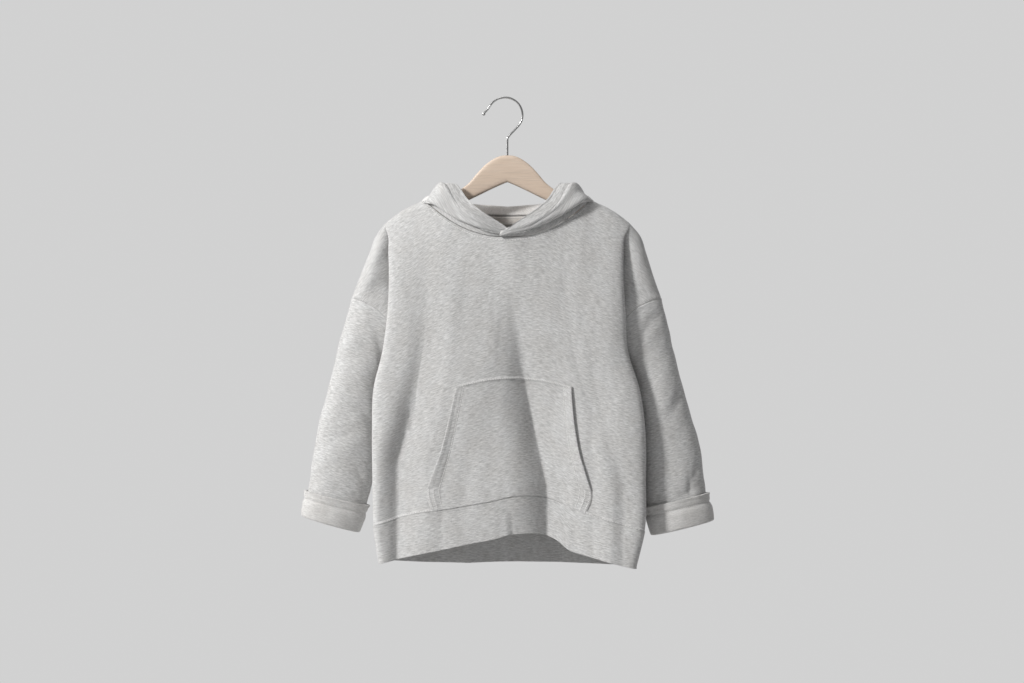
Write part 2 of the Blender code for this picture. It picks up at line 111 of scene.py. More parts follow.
BACK_FOLDS = dict(
    x_top=(-18, 86, -92, 40),
    x_mid=(-24, 94, -99, 46),
    x_foot=(-38, 110, -120, 56),
    left=(40, 44, 30, 26),
    right=(60, 34, 48, 36),
    bend=(2.2, 1.8, 2.0, 1.6),
    top=(-210, -200, -230, -330),
    foot=(-470, -450, -440, -500),
    depth=(16, 12, 10, -4),
)

# Silhouette of the dropped shoulder, from hanger tip to the top of the armhole
DROP = dict(
    z=(-227, -204, -176, -156, -143),
    left=(176, 167.3, 156.1, 148.2, 138.5),
    right=(174, 165.8, 157, 149.7, 138.5),
)
ARMHOLE_SHARE = 0.55    # share of the dropped shoulder's rows that run above the armhole
DROP_BULGE = dict(left=28.0, right=19.0)

# Sleeves: a row for each section, armhole to wrist. The outer point is given, the inner point is its
# height and its distance from the body's side. bow lifts the front and back of a slanted section.
SLEEVE_LEFT = dict(
    out_x=(176, 184.5, 193.5, 202.5, 211.6, 220.7, 226, 231),
    out_z=(-227, -255, -288, -325, -361, -404, -444, -476),
    in_z=(-283, -300, -322, -352, -383, -420, -459, -493),
    away=(0, 9.5, 8, 7, 6.5, 8, 15, 27),
    depth=(20, 22, 23.5, 24, 24, 23, 21, 19),
    bow=(15, 12, 7, 3, 1, 0, 0, 0),
)
SLEEVE_RIGHT = dict(
    out_x=(174, 181.5, 188.3, 198, 208.5, 219.7, 225, 231.3),
    out_z=(-227, -256, -288, -322, -360, -401, -446, -481),
    in_z=(-283, -300, -322, -352, -383, -420, -461, -496.5),
    away=(0, 10.5, 9, 7.5, 6.5, 6.5, 8, 18),
    depth=(16, 19, 22, 24, 24, 23, 21, 19),
    bow=(15, 12, 7, 3, 1, 0, 0, 0),
)
SLEEVE_POWER = 2.1
SLEEVE_SKEW = dict(left=0.08, right=-0.1)    # a sleeve's section is fuller on its inner side by this share
SLEEVE_BACK = 7.0       # the sleeves hang this far behind the body's middle
SLEEVE_CLEAR = 4.0      # least distance of a sleeve from the body's side
SLEEVE_LONG = 260       # a sleeve's length, near enough to space its unevenness
SLEEVE_START = 0.0035   # share of the sleeve's length left free below the armhole seam
CUFF_START = 0.872      # of the sleeve's length: the upper edge of the turned-up cuff
CUFF_OUT = 2.9          # turned-up layer lies this far outside the sleeve
CUFF_FLARE = 1.0
CUFF_HEM = 9.6          # the sleeve's hem, which shows on the turned-up cuff, is this wide
CUFF_DEEP = 34          # rim to fold
CUFF_FOLD = 1.006       # of the sleeve's length: the fold
CUFF_GROOVE = 1.1       # depth of the groove along the hem's stitching

# Kangaroo pocket: a row for each height, share of the way down, with its left and right edges
POCKET = dict(
    down=(0, 0.28, 0.53, 0.76, 0.82, 1.0),
    left=(-57.6, -66.4, -75.5, -87, -90, -85.5),
    right=(72.8, 76.3, 82.5, 92.5, 95.4, 89.2),
)
POCKET_CORNER_Z, POCKET_ARCH = -327.5, 11.5
POCKET_WIDE, POCKET_HIGH = 158, 150      # near enough to space its hems
POCKET_OFF = 1.75       # middle of the pocket's wall from the middle of the panel's
POCKET_PROUD = 1.6      # the right hand opening stands open by this much more

# Hood, let down on the back: a row for each station from throat to centre back. Beside the neck seam
# each section has a roll, the bottom of the bag and a point on the opening edge.
HOOD = dict(
    at=(0, 0.12, 0.26, 0.38, 0.5, 0.66, 0.83, 1.0),
    roll_x=(-2, 26, 59, 86, 98.5, 82, 44, 0),
    roll_y=(-36, -37.5, -32, -22, 2, 26, 32, 35),
    roll_z=(-157, -150, -136.5, -119.5, -119.5, -114, -120, -124),
    low_x=(-2, 29, 58, 77, 93, 95, 60, 0),
    low_y=(-36.5, -40, -32, -13, 36, 52, 62, 68),
    low_z=(-154, -142, -122, -97.5, -130, -214, -290, -322),
    edge_x=(0, 27, 45, 59, 72, 90, 64, 0),
    edge_y=(-37, -36, -27, -12, 22, 62, 94, 102),
    edge_z=(-151, -132, -117, -99, -102, -126, -156, -170),
)
NECK_CLEAR = 1.1        # the hood starts this far above the neck seam
HOOD_HEM = 13.0         # hem along the opening edge
HOOD_PUFF = 9.0         # outer layer of the bag bulges back by this much
THROAT_LAP = 3.2        # each hood half lies this far from the middle of the two where they cross

# Hanger and hook
HANGER_HALF_THICK = 6.0
HANGER_UPPER = dict(
    x=(0, 6, 13, 20, 28, 36, 43, 51, 75, 100, 122, 133),
    z=(-65, -65.3, -67.6, -71.8, -78.4, -87.3, -95.6, -102.2, -115.5, -128.5, -140.6, -150.5),
)
HANGER_LOWER = dict(
    x=(0, 2, 44, 100, 122, 133),
    z=(-95.4, -96.2, -115.9, -142.5, -154, -154.5),
)
HOOK_WIRE = 1.15
HOOK_RADIUS = 20.0
HOOK_BEND_Z = -43.5     # the wire meets the stem's line here
BALL = 1.9

# Stitching
STITCH_LONG, STITCH_PITCH, STITCH_WIDE = 2.7, 3.1, 1.0
NECK_STITCH, BAND_STITCH = 3.2, 1.9     # rows below the neck seam and above the band's seam
POCKET_STITCH = 0.0722                  # of the pocket's width: the rows along its hand openings
ARMHOLE_STITCH = 0.0145                 # of the sleeve's length


# ---- numbers ----

def track(keys, values, at):
    """Smooth curve through a table's values: cubic Hermite with the slopes of the neighbouring rows."""
    keys = np.asarray(keys, float)
    values = np.asarray(values, float)
    slopes = np.gradient(values, keys)
    at = np.clip(np.asarray(at, float), keys[0], keys[-1])
    i = np.clip(np.searchsorted(keys, at, side="right") - 1, 0, len(keys) - 2)
    span = keys[i + 1] - keys[i]
    t = (at - keys[i]) / span
    low = (2 * t**3 - 3 * t**2 + 1) * values[i] + (t**3 - 2 * t**2 + t) * span * slopes[i]
    high = (3 * t**2 - 2 * t**3) * values[i + 1] + (t**3 - t**2) * span * slopes[i + 1]
    return low + high


def blend(a, b, share):
    return a + (b - a) * share


def soft_step(value, start, stop):
    t = np.clip((value - start) / (stop - start), 0, 1)
    return t * t * (3 - 2 * t)


def unevenness(a, b, seed, longest, shortest, height, count=14):
    """Soft random swell of cloth: a sum of sine waves of seeded direction and phase whose heights
    fall with their lengths."""
    rng = np.random.default_rng(seed)
    length = np.geomspace(longest, shortest, count)
    turn = rng.uniform(0, 2 * np.pi, count)
    phase = rng.uniform(0, 2 * np.pi, count)
    total = np.zeros(np.broadcast(a, b).shape)
    for size, angle, start in zip(length, turn, phase):
        total = total + size * np.sin((a * np.cos(angle) + b * np.sin(angle)) * 2 * np.pi / size + start)
    return height * total / np.sqrt((length**2).sum() / 2)


def unit(v):
    return v / np.maximum(np.linalg.norm(v, axis=-1, keepdims=True), 1e-9)


def normals_of(grid):
    """Normal of each grid point: the cross product of the differences along rows and columns."""
    return unit(np.cross(np.gradient(grid, axis=1), np.gradient(grid, axis=0)))


# ---- body ----

def half_width(x_side, z):
    left = track(SIDE["z"], SIDE["left"], z)
    right = track(SIDE["z"], SIDE["right"], z)
    return np.where(x_side < 0, left, right)


def shoulder_line(x):
    share = np.clip((np.abs(x) - SHOULDER_X) / (REF_WIDTH - SHOULDER_X), 0, 1)
    crown = SHOULDER_CROWN * np.sin(np.pi * share)
    return SHOULDER_Z - SHOULDER_SLOPE * (np.abs(x) - SHOULDER_X) + crown


def neck_line(x, back):
    """Height of the neck seam: a power curve in front, a shallow parabola behind."""
    share = np.minimum(np.abs(x) / HPS_X, 1)
    corner = shoulder_line(HPS_X)
    front_z = NECK_FRONT_Z + NECK_RISE * (np.abs(x) / NECK_HALF) ** NECK_POWER
    back_z = NECK_BACK_Z + (corner - NECK_BACK_Z) * share**2.6
    return np.where(share >= 1, corner, back_z if back else np.minimum(front_z, corner))


def body_depth(below, back):
    """Distance from the middle plane at a drop below the shoulder line: a round over the hanger, then
    a slow swell."""
    over = np.sqrt(1 - (1 - np.clip(below / OVER_HANGER, 0, 1)) ** 2) * OVER_HANGER
    swell, reach = (30.0, 80.0) if back else (34.0, 70.0)
    return over + swell * (1 - np.exp(-np.clip(below, 0, None) / reach))


def folds(x, z, table):
    """Sum of troughs and ridges. Across each, the left wall falls as a power of the distance from where it
    starts and the right wall rises nearly evenly; the lower of the two counts, rounded where they meet. Along
    it, the fold grows softly from top to foot and its line is a parabola."""
    total = np.zeros(np.broadcast(x, z).shape)
    for x_top, x_mid, x_foot, left, right, bend, top, foot, depth in zip(*table.values()):
        share = np.clip((top - z) / (top - foot), 0, 1.2)
        slope, curve = 4 * x_mid - 3 * x_top - x_foot, 2 * (x_top + x_foot - 2 * x_mid)
        middle = x_top + slope * share + curve * share**2
        off = x - middle
        falls = np.clip(1 + off / left, 0, 1.6) ** bend
        rises = np.clip(1 - off / right, 0, 1.6) ** FOLD_RISE
        lower = sum(np.exp(-FOLD_SHARP * height) for height in (falls, rises, FOLD_CAP))
        both = -np.log(lower) / FOLD_SHARP
        total = total + depth * soft_step(share, 0, 1) * np.clip(both, 0, None)
    return total


def body_point(across, z, back):
    """Point of the body cloth. across runs -1..1 from side seam to side seam along a superellipse."""
    share = np.abs(across)
    side = np.sign(across)
    width = half_width(across, z)
    x = side * width * share
    depth = body_depth(shoulder_line(x) - z, back)
    fold_share = np.clip((TIP_Z - z) / (TIP_Z - UNDERARM_Z), 0, 1)
    at_side = np.minimum(ARM_FOLD * np.sqrt(np.sin(np.pi * fold_share)), depth)
    at_side = blend(0.88 * depth, at_side, soft_step(TIP_Z - z, 0, 36))
    rise = (1 - share**SECTION_POWER) ** (1 / SECTION_POWER)
    y = at_side + (depth - at_side) * rise
    table = BACK_FOLDS if back else FRONT_FOLDS
    y = y - folds(x, z, table) * soft_step(rise, 0.35, 0.8)
    calm = soft_step(shoulder_line(x) - z, 6, 60) * soft_step(rise, 0.2, 0.7)
    y = y + calm * unevenness(x, z * 0.6, 11 if back else 5, 120, 22, 0.55)
    tuck = track(SIDE["z"], SIDE["tuck"], z)
    x = x - side * tuck * np.exp(-(((y - at_side) / SIDE_ROUND) ** 2)) * soft_step(share, 0.75, 1)
    return np.stack([x, y if back else -y, z * np.ones_like(x)], axis=-1)


def front_point(x, z):
    """Point of the front panel at a place seen from the front."""
    return body_point(np.clip(x / half_width(x, z), -1, 1), z, False)


def on_front(x, z, off):
    """Point that lies off the front panel's middle surface, moved out along its normal."""
    x, z = np.broadcast_arrays(np.asarray(x, float), np.asarray(z, float))
    point = front_point(x, z)
    along = front_point(x + 0.7, z) - front_point(x - 0.7, z)
    down = front_point(x, z - 0.7) - front_point(x, z + 0.7)
    out = unit(np.cross(down, along))
    out = out * -np.sign(out[..., 1:2])
    off = np.asarray(off, float)
    return point + out * (off[..., None] if off.ndim else off)


def across_stations(neck_steps, side_steps):
    """Stations from side seam to side seam: even across the neck, then even in angle round the side."""
    neck = HPS_X / REF_WIDTH
    start = np.arcsin(neck ** (SECTION_POWER / 2))
    angle = np.linspace(start, np.pi / 2, side_steps + 1)
    outer = np.sin(angle) ** (2 / SECTION_POWER)
    half = np.concatenate([np.linspace(0, neck, neck_steps + 1), outer[1:]])
    return np.concatenate([-half[:0:-1], half])


def body_grid(back, neck_steps, side_steps, upper_rows, lower_rows):
    """Body panel from neck and shoulder line down to the band's seam. Its first rows are those of the
    dropped shoulders, which share its side columns."""
    across = across_stations(neck_steps, side_steps)
    x = across * REF_WIDTH
    top = np.where(np.abs(x) < HPS_X - 0.01, neck_line(x, back), shoulder_line(x))
    band = BACK_BAND if back else FRONT_BAND
    foot = track(band["x"], band["seam"], across * band["x"][-1]) + SEAM
    foot_side = foot[[0, -1]].mean()
    reach = (TIP_Z - UNDERARM_Z) / (TIP_Z - foot_side)
    upper = reach * np.linspace(0, 1, upper_rows + 1) ** 1.6
    near = 1 - SEAM_LIP / (TIP_Z - foot_side)
    lower = np.concatenate([np.linspace(reach, near, lower_rows - 9)[1:], np.linspace(near, 1, 11)[1:]])
    down = np.concatenate([upper, lower])[:, None]
    z = top + (foot - top) * down
    grid = body_point(across[None, :] * np.ones_like(z), z, back)
    lip = 1.1 * np.exp(-(((z - foot - 1.3) / 1.3) ** 2)) * soft_step(np.abs(grid[..., 1]), 8, 16)
    grid[..., 1] += lip if back else -lip
    return grid


def drop_grid(side, panel, upper_rows, steps, back):
    """Dropped shoulder: rows run out from the body's side column to the silhouette above the armhole,
    and to the armhole below it."""
    inner = panel[: upper_rows + 1, -1 if side > 0 else 0]
    share = np.linspace(0, 1, upper_rows + 1)
    key = "right" if side > 0 else "left"
    above = share / ARMHOLE_SHARE
    drop_z = TIP_Z + (DROP["z"][0] - TIP_Z) * np.clip(above, 0, 1)
    drop = np.stack([side * track(DROP["z"], DROP[key], drop_z), 0 * drop_z, drop_z], axis=-1)
    angle = np.pi * np.clip((share - ARMHOLE_SHARE) / (1 - ARMHOLE_SHARE), 0, 1)
    hole = sleeve_point(side, np.zeros_like(angle), -angle if back else angle)
    outer = np.where((share <= ARMHOLE_SHARE)[:, None], drop, hole)
    out = np.sin(np.linspace(0, np.pi / 2, steps + 1))
    grid = blend(inner[:, None], outer[:, None], out[None, :, None])
    flip = 1 if back else -1
    start, stop = flip * inner[:, 1:2], flip * outer[:, 1:2]
    full = DROP_BULGE[key] * np.sin(np.pi * np.clip(share, 0, 1))[:, None] ** 0.9
    full = blend(full, stop * 1.08 + 1, soft_step(share, 0.5, 0.95)[:, None])
    full = np.maximum(np.maximum(full, start), stop)
    steep = blend(0.75, 0.5, soft_step(share, 0.3, 0.6)[:, None])
    mixed = stop + (start + (full - start) * np.sin(out * np.pi / 2) ** steep - stop) * np.sqrt(1 - out**2)
    swell = unevenness(grid[..., 0], grid[..., 2], 23, 70, 18, 0.5) * np.sin(np.pi * out)
    grid[..., 1] = flip * (mixed + swell)
    return grid


# ---- sleeves ----

def sleeve_point(side, along, angle, out=0.0, clear=0.0):
    """Point of a sleeve. along runs 0..1 from armhole to wrist, angle from the outer point over the
    front (0..pi) to the inner one. Each section is a superellipse between outer and inner point, bowed
    upwards where it slants; out moves it outwards and clear keeps its inner point off the body."""
    table = SLEEVE_RIGHT if side > 0 else SLEEVE_LEFT
    skew = SLEEVE_SKEW["right" if side > 0 else "left"]
    keys = np.linspace(0, 1, len(table["depth"]))
    out_x, out_z, in_z, away, depth, bow = (track(keys, column, along) for column in table.values())
    at_side = half_width(np.full_like(in_z, side), in_z) - track(SIDE["z"], SIDE["tuck"], in_z)
    in_x = at_side + np.maximum(away, clear)
    centre_x, centre_z = (out_x + in_x) / 2, (out_z + in_z) / 2
    half_x, half_z = (out_x - in_x) / 2, (out_z - in_z) / 2
    half = np.hypot(half_x, half_z)
    cosine = np.sign(np.cos(angle)) * np.abs(np.cos(angle)) ** (2 / SLEEVE_POWER)
    sine = np.sign(np.sin(angle)) * np.abs(np.sin(angle)) ** (2 / SLEEVE_POWER)
    stretch = cosine * (half + out) / half
    lift = bow * np.sin(angle) ** 2 * (1 - 0.25 * np.cos(angle))
    x = centre_x + half_x * stretch - lift * half_z / half
    z = centre_z + half_z * stretch + lift * half_x / half
    y = SLEEVE_BACK * soft_step(along, 0, 0.3) - (depth * (1 + skew * np.cos(angle)) + out) * sine
    return np.stack([side * x, y, z], axis=-1)


# Cross folds of the sleeves: a row for each, along the sleeve, with the angle where it is deepest.
# left is the share of it that the left sleeve has
SLEEVE_FOLDS = dict(
    along=(0.13, 0.33, 0.5, 0.63, 0.78, 0.85, 0.83),
    angle=(1.9, 0.7, 2.2, 1.2, 2.4, 1.9, 2.06),
    slant=(0.07, -0.08, 0.09, -0.05, 0.14, 0.03, 0.0),
    width=(0.035, 0.04, 0.035, 0.03, 0.03, 0.016, 0.05),
    reach=(1.0, 1.1, 1.0, 1.1, 0.5, 1.3, 0.1),
    depth=(1.3, 0.9, 1.2, 0.9, 1.2, 1.0, 1.2),
    left=(1, 1, 1, 1, 1, 1, 0),
)


def sleeve_dents(side, along, angle):
    """Soft troughs across a sleeve, each fading round it and to both sides."""
    total = np.zeros(along.shape)
    for at, turn, slant, width, reach, depth, left in zip(*SLEEVE_FOLDS.values()):
        depth = depth * (left if side < 0 else 1)
        turn = turn if side < 0 else np.pi - turn
        for mirror in (1, -1):
            off = np.angle(np.exp(1j * (angle - mirror * turn)))
            middle = at + slant * off + (0.03 if mirror < 0 else 0)
            total = total + depth * np.exp(-(((along - middle) / width) ** 2) - (off / reach) ** 2)
    return total


def cuff_profile(down):
    """How far the turned-up cuff stands off the sleeve, by its distance from the upper rim in mm: a raised
    rim, a flat stitched hem, a groove along the stitching, then a soft puff down to the fold."""
    rim = 0.4 * np.exp(-((down / 1.5) ** 2))
    groove = CUFF_GROOVE * np.exp(-(((down - CUFF_HEM) / 2.0) ** 2))
    puff = 1.0 * soft_step(down, CUFF_HEM + 1, 17.0) * (1 - soft_step(down, 24, 33.5) * 0.6)
    under = 3.2 * soft_step(down, 31, CUFF_DEEP) ** 2
    return CUFF_OUT + rim - groove + puff - under


def sleeve_grid(side, rows, steps, start, stop, out, flare=0.0):
    """Tube round a sleeve between two shares of its length, with its dents and a soft edge at the armhole."""
    along = np.linspace(start, stop, rows + 1)[:, None] * np.ones((1, steps))
    angle = np.linspace(0, 2 * np.pi, steps, endpoint=False)[None, :] * np.ones((rows + 1, 1))
    more = out + flare * (stop - along) / (stop - start)
    calm = soft_step(along, 0, 0.08)
    more = more - calm * sleeve_dents(side, along, angle)
    more = more + calm * unevenness(along * SLEEVE_LONG, np.cos(angle) * 40, 31 + side, 90, 20, 0.45)
    more = more + 0.5 * np.exp(-(((along * SLEEVE_LONG - 2.5) / 2.2) ** 2))
    return sleeve_point(side, along, angle, more, SLEEVE_CLEAR * soft_step(along, 0.0, 0.12))


# ---- hood ----

def neck_point(side, at):
    """Neck seam of one half: throat at 0, shoulder at 0.5, centre back at 1."""
    at = np.asarray(at, float)
    turn = np.abs(np.cos(np.pi * at))
    x = HPS_X * (1 - turn**1.6) ** (1 / 1.6)
    front, back = at <= 0.5, at > 0.5
    z = np.where(front, neck_line(x, False), neck_line(x, True))
    below = shoulder_line(x) - z
    y = np.where(back, body_depth(below, True), -body_depth(below, False))
    return np.stack([side * x, y, z], axis=-1)


def through(points, share):
    """Smooth curve through the points of each section, evened by their distances apart."""
    count = len(points)
    lengths = np.linalg.norm(np.diff(points, axis=0), axis=-1).mean(axis=1)
    keys = np.concatenate([[0], np.cumsum(np.sqrt(lengths))])
    keys = keys / keys[-1]
    flat = points.reshape(count, -1)
    columns = [track(keys, flat[:, i], share) for i in range(flat.shape[1])]
    return np.stack(columns, axis=-1).reshape((len(share),) + points.shape[1:])


def hood_grid(side, stations, steps):
    """Hood half: each section leaves the neck seam, rolls over, falls to the bottom of the bag and
    comes up again to the opening edge."""
    at = np.linspace(0, 1, stations + 1)
    named = {key: track(HOOD["at"], HOOD[key], at) for key in HOOD if key != "at"}
    roll, low, edge = (
        np.stack([side * named[name + "_x"], named[name + "_y"], named[name + "_z"]], axis=-1)
        for name in ("roll", "low", "edge")
    )
    neck = neck_point(side, at)
    neck[:, 2] += NECK_CLEAR
    ahead = 1 - soft_step(at, 0.4, 0.6)
    stand = np.stack([-0.055 * neck[:, 0], 0 * at - 1.2, 5.0 + 0 * at], axis=-1)
    strip = neck + stand * (0.25 + 0.75 * ahead)[:, None]
    if side > 0:
        roll = roll + np.array([0.0, 0.0, 1.8]) * (soft_step(at, 0.08, 0.2) * ahead)[:, None]
    behind = soft_step(at, 0.45, 0.7)[:, None]
    puff = np.array([0.0, HOOD_PUFF, 0.0]) * behind
    inner = blend(roll, low, 0.55) - puff
    outer = blend(low, edge, 0.45) + puff
    rows = through(np.stack([neck, strip, roll, inner, low, outer, edge]), np.linspace(0, 1, steps + 1))
    lap = THROAT_LAP * (1 - soft_step(at, 0.0, 0.16))
    rows[..., 1] += -side * lap
    rows[..., 0] += -side * 8.0 * (1 - soft_step(at, 0.0, 0.12)) * np.linspace(1, 0.2, steps + 1)[:, None]
    rows[:, -1, 0] = 0
    from_edge = np.linalg.norm(rows[-1:] - rows, axis=-1)
    from_neck = np.linalg.norm(rows - rows[:1], axis=-1)
    beside = soft_step(at, 0.15, 0.35) * (1 - soft_step(at, 0.5, 0.7))
    groove = 1.3 * np.exp(-(((from_edge - HOOD_HEM) / 3.2) ** 2)) * beside
    groove = groove + 0.5 * np.exp(-(((from_edge - HOOD_HEM) / 1.2) ** 2)) * soft_step(at, 0.05, 0.2)
    groove = groove + 1.4 * np.exp(-(((from_neck - 6.8) / 1.9) ** 2)) * soft_step(at, 0.03, 0.1) * ahead
    swell = unevenness(at * 300, np.linspace(0, 1, steps + 1)[:, None] * 200, 40 + side, 90, 40, 0.25)
    swell = swell * soft_step(np.linspace(0, 1, steps + 1)[:, None], 0.1, 0.4) * soft_step(at, 0, 0.15)
    out = normals_of(rows)
    inwards = np.where((out * (rows - (0, 20, -150))).sum(axis=-1) < 0, 1, -1)
    rows = rows + inwards[..., None] * out * (groove - swell)[..., None]
    rows[:, -1, 0] = 0
    return rows


# ---- meshes ----

def lengths_along(grid, axis):
    """Arc length from the first point along one axis of a grid, in metres."""
    step = np.linalg.norm(np.diff(grid, axis=axis), axis=-1)
    pad = [(0, 0), (0, 0)]
    pad[axis] = (1, 0)
    return np.pad(np.cumsum(step, axis=axis), pad) * MM


def cloth_uv(grid, closed, pull=None):
    """Cloth coordinates in metres: along the row from its middle, and up from the last row. pull gives, for
    the grid's points, how far in mm the courses have slipped down the cloth there."""
    whole = np.concatenate([grid, grid[:, :1]], axis=1) if closed else grid
    u = lengths_along(whole, 1)
    middle = u[:, u.shape[1] // 2 : u.shape[1] // 2 + 1]
    v = lengths_along(whole, 0)
    v = v[-1:] - v
    if pull is not None:
        v = v + pull(whole) * MM
    return np.stack([u - middle, v], axis=-1)


def mesh_arrays(grid, closed, base=0, pull=None):
    """Quads of a grid and the cloth coordinates of their corners."""
    rows, columns = grid.shape[:2]
    uv = cloth_uv(grid, closed, pull)
    i, j = np.meshgrid(np.arange(rows - 1), np.arange(columns if closed else columns - 1), indexing="ij")
    i, j = i.ravel(), j.ravel()
    k = (j + 1) % columns
    quads = np.stack([i * columns + j, i * columns + k, (i + 1) * columns + k, (i + 1) * columns + j], axis=1)
    corners = np.stack([uv[i, j], uv[i, j + 1], uv[i + 1, j + 1], uv[i + 1, j]], axis=1)
    return grid.reshape(-1, 3), quads + base, corners


def make_mesh(name, parts):
    """Object from a list of (points, faces, corner coordinates)."""
    points = np.concatenate([part[0] for part in parts]) + (STEM_X, 0, 0)
    faces = np.concatenate([part[1] for part in parts])
    corners = np.concatenate([part[2] for part in parts])
    mesh = bpy.data.meshes.new(name)
    mesh.vertices.add(len(points))
    mesh.vertices.foreach_set("co", (points * MM).astype(np.float32).ravel())
    sides = faces.shape[1]
    mesh.loops.add(faces.size)
    mesh.loops.foreach_set("vertex_index", faces.astype(np.int32).ravel())
    mesh.polygons.add(len(faces))
    mesh.polygons.foreach_set("loop_start", np.arange(0, faces.size, sides, dtype=np.int32))
    layer = mesh.uv_layers.new(name="cloth")
    layer.data.foreach_set("uv", corners.astype(np.float32).ravel())
    mesh.update(calc_edges=True)
    mesh.validate()
    mesh.shade_smooth()
    obj = bpy.data.objects.new(name, mesh)
    bpy.context.scene.collection.objects.link(obj)
    return obj


def weld(obj, distance=2e-6):
    work = bmesh.new()
    work.from_mesh(obj.data)
    bmesh.ops.remove_doubles(work, verts=work.verts, dist=distance)
    bmesh.ops.dissolve_degenerate(work, edges=work.edges, dist=distance / 4)
    bmesh.ops.recalc_face_normals(work, faces=work.faces)
    work.to_mesh(obj.data)
    work.free()


def close_ends(obj):
    """Fills the open rings of a tube and turns its faces outwards."""
    work = bmesh.new()
    work.from_mesh(obj.data)
    bmesh.ops.holes_fill(work, edges=[edge for edge in work.edges if edge.is_boundary])
    bmesh.ops.recalc_face_normals(work, faces=work.faces)
    work.to_mesh(obj.data)
    work.free()


def face_outwards(obj, outside):
    """Turns the open sheet round if its first faces don't look towards the outside direction."""
    mesh = obj.data
    normals = np.empty(len(mesh.polygons) * 3, np.float32)
    mesh.polygons.foreach_get("normal", normals)
    centres = np.empty(len(mesh.polygons) * 3, np.float32)
    mesh.polygons.foreach_get("center", centres)
    areas = np.empty(len(mesh.polygons), np.float32)
    mesh.polygons.foreach_get("area", areas)
    looks = (normals.reshape(-1, 3) * outside(centres.reshape(-1, 3) / MM)).sum(axis=1)
    if (looks * areas).sum() < 0:
        mesh.flip_normals()


def cloth_piece(name, grids, wall, outside, face, reverse, closed=False, edge=0.6, heft=None, thick=1.0,
                pull=None):
    """Cloth shell: grids welded into one open sheet, given its wall by Solidify and soft edges by Bevel.
    The outer side and the cut edges have the face finish, the inner side the reverse. heft runs 0..1 for
    each point and thickens the wall up to thick times."""
    parts, base = [], 0
    for grid in grids:
        parts.append(mesh_arrays(grid, closed, base, pull))
        base += grid.shape[0] * grid.shape[1]
    obj = make_mesh(name, parts)
    if heft is not None:
        group = obj.vertex_groups.new(name="heft")
        level = np.round(np.clip(heft, 0, 1).ravel() * 20).astype(int)
        for step in range(21):
            weight = (1 + (thick - 1) * step / 20) / thick
            group.add(np.flatnonzero(level == step).tolist(), weight, "REPLACE")
    weld(obj)
    face_outwards(obj, outside)
    obj.data.materials.append(face)
    obj.data.materials.append(reverse)
    shell = obj.modifiers.new("wall", "SOLIDIFY")
    shell.thickness = wall * thick * MM
    shell.offset = 0
    shell.material_offset = 1
    shell.material_offset_rim = 0
    if heft is not None:
        shell.vertex_group = "heft"
    soft = obj.modifiers.new("soft edges", "BEVEL")
    soft.width = edge * MM
    soft.segments = 2
    soft.limit_method = "ANGLE"
    soft.angle_limit = math.radians(70)
    return obj


def finish_piece(obj, slot, *nodes):
    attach(obj, "root")
    if nodes:
        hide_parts(*nodes)


# ---- finishes ----

class Nodes:
    """Short hand for a material's node tree."""

    def __init__(self, name):
        self.material = bpy.data.materials.new(name)
        self.material.use_nodes = True
        self.tree = self.material.node_tree
        self.shader = self.tree.nodes["Principled BSDF"]

    def add(self, kind, links=(), **values):
        node = self.tree.nodes.new(kind)
        for key, value in values.items():
            setattr(node, key, value)
        for socket, source in dict(links).items():
            self.tree.links.new(source, node.inputs[socket])
        return node

    def link(self, source, target):
        self.tree.links.new(source, target)

    def coordinates(self, scale, kind="UV", turn=0.0):
        if kind == "UV":
            source = self.add("ShaderNodeUVMap", uv_map="cloth").outputs["UV"]
        else:
            source = self.add("ShaderNodeTexCoord").outputs["Object"]
        mapping = self.add("ShaderNodeMapping", {"Vector": source})
        mapping.inputs["Scale"].default_value = scale
        mapping.inputs["Rotation"].default_value = (0, 0, turn)
        return mapping.outputs["Vector"]

    def noise(self, vector, scale, detail=2.0, roughness=0.5, distortion=0.0, dimensions="2D"):
        node = self.add("ShaderNodeTexNoise", {"Vector": vector}, noise_dimensions=dimensions)
        node.inputs["Scale"].default_value = scale
        node.inputs["Detail"].default_value = detail
        node.inputs["Roughness"].default_value = roughness
        node.inputs["Distortion"].default_value = distortion
        return node.outputs["Fac"]

    def ramp(self, factor, stops):
        node = self.add("ShaderNodeValToRGB", {"Fac": factor})
        ramp = node.color_ramp
        while len(ramp.elements) < len(stops):
            ramp.elements.new(0.5)
        for element, (place, colour) in zip(ramp.elements, stops):
            element.position = place
            element.color = (*colour, 1.0)
        return node.outputs["Color"]

    def math(self, operation, a, b=None, c=None):
        node = self.add("ShaderNodeMath", operation=operation)
        for socket, value in zip(node.inputs, (a, b, c)):
            if value is None:
                continue
            if isinstance(value, (int, float)):
                socket.default_value = value
            else:
                self.link(value, socket)
        return node.outputs[0]

    def multiply(self, a, b):
        node = self.add("ShaderNodeMix", data_type="RGBA", blend_type="MULTIPLY")
        node.inputs[0].default_value = 1.0
        self.link(a, node.inputs[6])
        self.link(b, node.inputs[7])
        return node.outputs[2]

    def bump(self, height, distance, strength):
        node = self.add("ShaderNodeBump", {"Height": height})
        node.inputs["Distance"].default_value = distance
        node.inputs["Strength"].default_value = strength
        return node.outputs["Normal"]


def grey(value, warmth=0.0):
    return (value * (1 + warmth), value, value * (1 - warmth))


